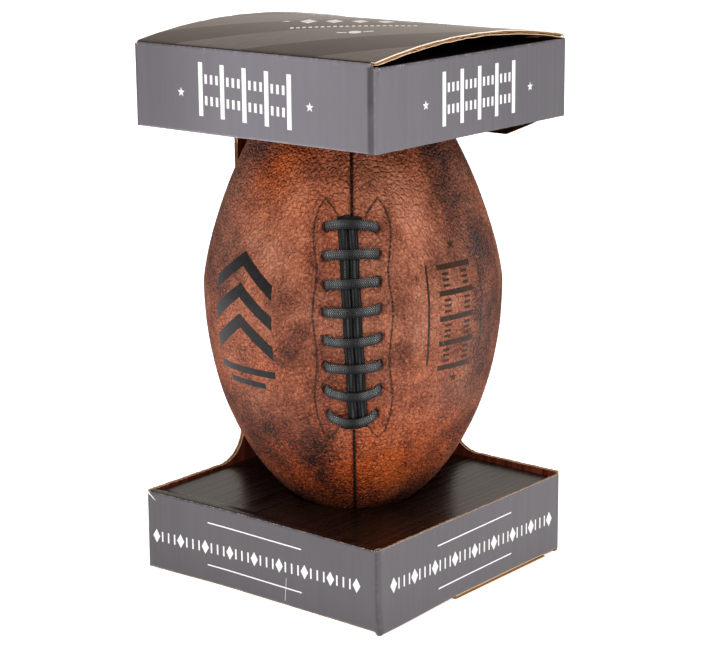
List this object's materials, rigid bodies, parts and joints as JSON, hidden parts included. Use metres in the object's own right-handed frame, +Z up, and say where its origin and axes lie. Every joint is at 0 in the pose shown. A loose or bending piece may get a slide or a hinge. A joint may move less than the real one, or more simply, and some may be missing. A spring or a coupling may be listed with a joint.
{
  "type": "football display case",
  "caption": "Open-sided corrugated display box whose base and lid trays share an L-shaped spine and hold a laced leather football upright in round holes.",
  "frame": {"origin": "centre of the box's square footprint, on the surface that the base stands on", "axes": "+Z up; -Y is the normal of the front wall and +X that of the right wall, the walls on either side of the open front corner; the spine panels are at the back (+Y) and the left (-X)"},
  "size_m": [0.1734, 0.175, 0.3163],
  "materials": {
    "printed_board": "satin",
    "glue_flap_board": "matte",
    "kraft_board": "matte",
    "dark_board": "satin",
    "lid_board": "satin",
    "ball_leather": "satin",
    "ball_lining": "matte",
    "ball_bladder": "matte",
    "valve_rubber": "matte",
    "lace": "matte"
  },
  "bodies": {
    "case": {"base_wall_front": "printed_board", "base_wall_right": "printed_board", "base_glue_flap": "glue_flap_board", "lid_wall_front": "printed_board", "lid_wall_right": "printed_board", "lid_glue_flap": "glue_flap_board", "back_panel": "printed_board", "left_panel": "printed_board", "base_ball_panel": "dark_board", "base_ball_panel_flap": "dark_board", "lid_ball_panel": "dark_board", "lid_ball_panel_flap": "dark_board", "bottom_flap_back": "kraft_board", "bottom_flap_front": "kraft_board", "bottom_flap_left": "kraft_board", "bottom_flap_right": "kraft_board"},
    "lid_top": {"lid_top_panel": "lid_board"},
    "lid_tuck": {"lid_tuck_flap": "lid_board"},
    "dust_right": {"lid_dust_flap_right": "lid_board"},
    "dust_left": {"lid_dust_flap_left": "lid_board"},
    "ball": {"ball_panel_1": "ball_leather", "ball_panel_2": "ball_leather", "ball_panel_3": "ball_leather", "ball_panel_4": "ball_leather", "ball_lining": "ball_lining", "ball_bladder": "ball_bladder", "ball_valve": "valve_rubber", "ball_facing_left": "ball_leather", "ball_facing_right": "ball_leather", "ball_lace_bars": "lace", "ball_lace_runs": "lace"}
  },
  "joints": [
    {"name": "lid_open", "type": "hinge", "parent": "case", "child": "lid_top", "pos_m": [0, -0.0855, 0.3088], "axis": [1, 0, 0], "range_deg": [0, 180]},
    {"name": "lid_tuck_fold", "type": "hinge", "parent": "lid_top", "child": "lid_tuck", "pos_m": [0, 0.0824, 0.3088], "axis": [1, 0, 0], "range_deg": [0, 99]},
    {"name": "dust_right_fold", "type": "hinge", "parent": "case", "child": "dust_right", "pos_m": [0.0855, 0, 0.306], "axis": [0, 1, 0], "range_deg": [0, 90]},
    {"name": "dust_left_fold", "type": "hinge", "parent": "case", "child": "dust_left", "pos_m": [-0.0855, 0, 0.306], "axis": [0, -1, 0], "range_deg": [0, 90]},
    {"name": "ball_turn", "type": "hinge", "parent": "case", "child": "ball", "pos_m": [0.0027, -0.0043, 0.1721], "axis": [0, 0, 1], "range_deg": [-100, 110]}
  ],
  "couplings": [
    {"joint": "lid_tuck_fold", "follows": "lid_open", "ratio": 0.55},
    {"joint": "dust_right_fold", "follows": "lid_open", "ratio": 0.5},
    {"joint": "dust_left_fold", "follows": "lid_open", "ratio": 0.5}
  ]
}
